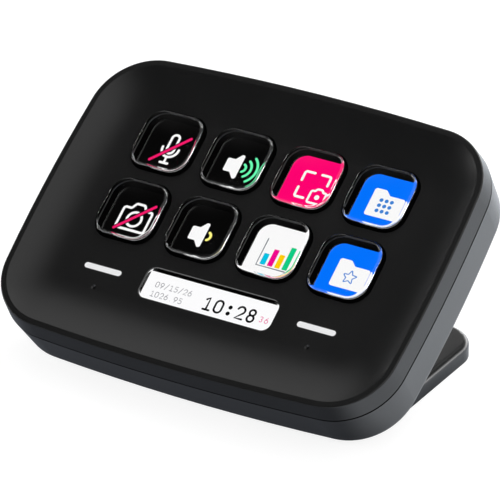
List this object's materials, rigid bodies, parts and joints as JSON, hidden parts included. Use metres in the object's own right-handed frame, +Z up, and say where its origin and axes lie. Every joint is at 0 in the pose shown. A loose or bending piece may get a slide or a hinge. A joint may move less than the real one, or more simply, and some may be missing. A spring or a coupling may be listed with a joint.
{
  "type": "desktop display keypad",
  "caption": "Tilted desktop keypad with clear display keys, a narrow information display, touch bars and a flat foot.",
  "frame": {"origin": "on the desk, under the middle of the keypad's outline", "axes": "+Z up, +X to the right as seen by the user, +Y away from the user"},
  "size_m": [0.107, 0.0714, 0.058],
  "materials": {
    "case_plastic": "fine matt texture, near black",
    "foot_rubber": "soft matt rubber",
    "weight_steel": "plain ground steel plate",
    "clear_acrylic": "clear polished acrylic",
    "display_glass": "dark display glass, lit from behind",
    "light_guide": "milky light guide",
    "frame_plastic": "black moulded plastic",
    "black_board": "black solder mask",
    "green_board": "green solder mask",
    "chip_resin": "moulded black resin",
    "connector_plastic": "black moulded plastic",
    "flat_cable": "amber film",
    "bright_steel": "bright plated steel",
    "contact_gold": "gold-plated contact pins",
    "milky_plastic": "milky light bar",
    "lamp_resin": "small white lamps",
    "silicone": "soft grey silicone",
    "screw_steel": "blackened steel screws"
  },
  "bodies": {
    "case": {"board_chips": "chip_resin", "board_screws": "screw_steel", "cable_connectors": "connector_plastic", "case_screws": "screw_steel", "display_cable": "flat_cable", "display_frame": "frame_plastic", "foot_pad": "foot_rubber", "foot_screws": "screw_steel", "foot_stand": "case_plastic", "foot_weight": "weight_steel", "front_shell": "case_plastic", "info_backlight": "light_guide", "info_cable": "flat_cable", "info_display": "display_glass", "info_holder": "frame_plastic", "info_window": "clear_acrylic", "key_backlight": "light_guide", "key_collar_1": "silicone", "key_collar_2": "silicone", "key_collar_3": "silicone", "key_collar_4": "silicone", "key_collar_5": "silicone", "key_collar_6": "silicone", "key_collar_7": "silicone", "key_collar_8": "silicone", "key_display": "display_glass", "main_board": "green_board", "rear_shell": "case_plastic", "switch_board": "black_board", "switch_cable": "flat_cable", "touch_bar_left": "milky_plastic", "touch_bar_right": "milky_plastic", "touch_board_left": "black_board", "touch_board_right": "black_board", "touch_contact_pins": "contact_gold", "touch_lamps": "lamp_resin", "usb_shell": "bright_steel", "usb_tongue": "connector_plastic"},
    "key_1": {"key_cap_1": "clear_acrylic"},
    "key_2": {"key_cap_2": "clear_acrylic"},
    "key_3": {"key_cap_3": "clear_acrylic"},
    "key_4": {"key_cap_4": "clear_acrylic"},
    "key_5": {"key_cap_5": "clear_acrylic"},
    "key_6": {"key_cap_6": "clear_acrylic"},
    "key_7": {"key_cap_7": "clear_acrylic"},
    "key_8": {"key_cap_8": "clear_acrylic"}
  },
  "joints": [
    {"name": "press_key_1", "type": "slide", "parent": "case", "child": "key_1", "axis": [0, 0.5807, -0.8141], "range_m": [0, 0.001], "stiffness_N_per_m": 600, "deforming": ["key_collar_1"]},
    {"name": "press_key_2", "type": "slide", "parent": "case", "child": "key_2", "axis": [0, 0.5807, -0.8141], "range_m": [0, 0.001], "stiffness_N_per_m": 600, "deforming": ["key_collar_2"]},
    {"name": "press_key_3", "type": "slide", "parent": "case", "child": "key_3", "axis": [0, 0.5807, -0.8141], "range_m": [0, 0.001], "stiffness_N_per_m": 600, "deforming": ["key_collar_3"]},
    {"name": "press_key_4", "type": "slide", "parent": "case", "child": "key_4", "axis": [0, 0.5807, -0.8141], "range_m": [0, 0.001], "stiffness_N_per_m": 600, "deforming": ["key_collar_4"]},
    {"name": "press_key_5", "type": "slide", "parent": "case", "child": "key_5", "axis": [0, 0.5807, -0.8141], "range_m": [0, 0.001], "stiffness_N_per_m": 600, "deforming": ["key_collar_5"]},
    {"name": "press_key_6", "type": "slide", "parent": "case", "child": "key_6", "axis": [0, 0.5807, -0.8141], "range_m": [0, 0.001], "stiffness_N_per_m": 600, "deforming": ["key_collar_6"]},
    {"name": "press_key_7", "type": "slide", "parent": "case", "child": "key_7", "axis": [0, 0.5807, -0.8141], "range_m": [0, 0.001], "stiffness_N_per_m": 600, "deforming": ["key_collar_7"]},
    {"name": "press_key_8", "type": "slide", "parent": "case", "child": "key_8", "axis": [0, 0.5807, -0.8141], "range_m": [0, 0.001], "stiffness_N_per_m": 600, "deforming": ["key_collar_8"]}
  ]
}
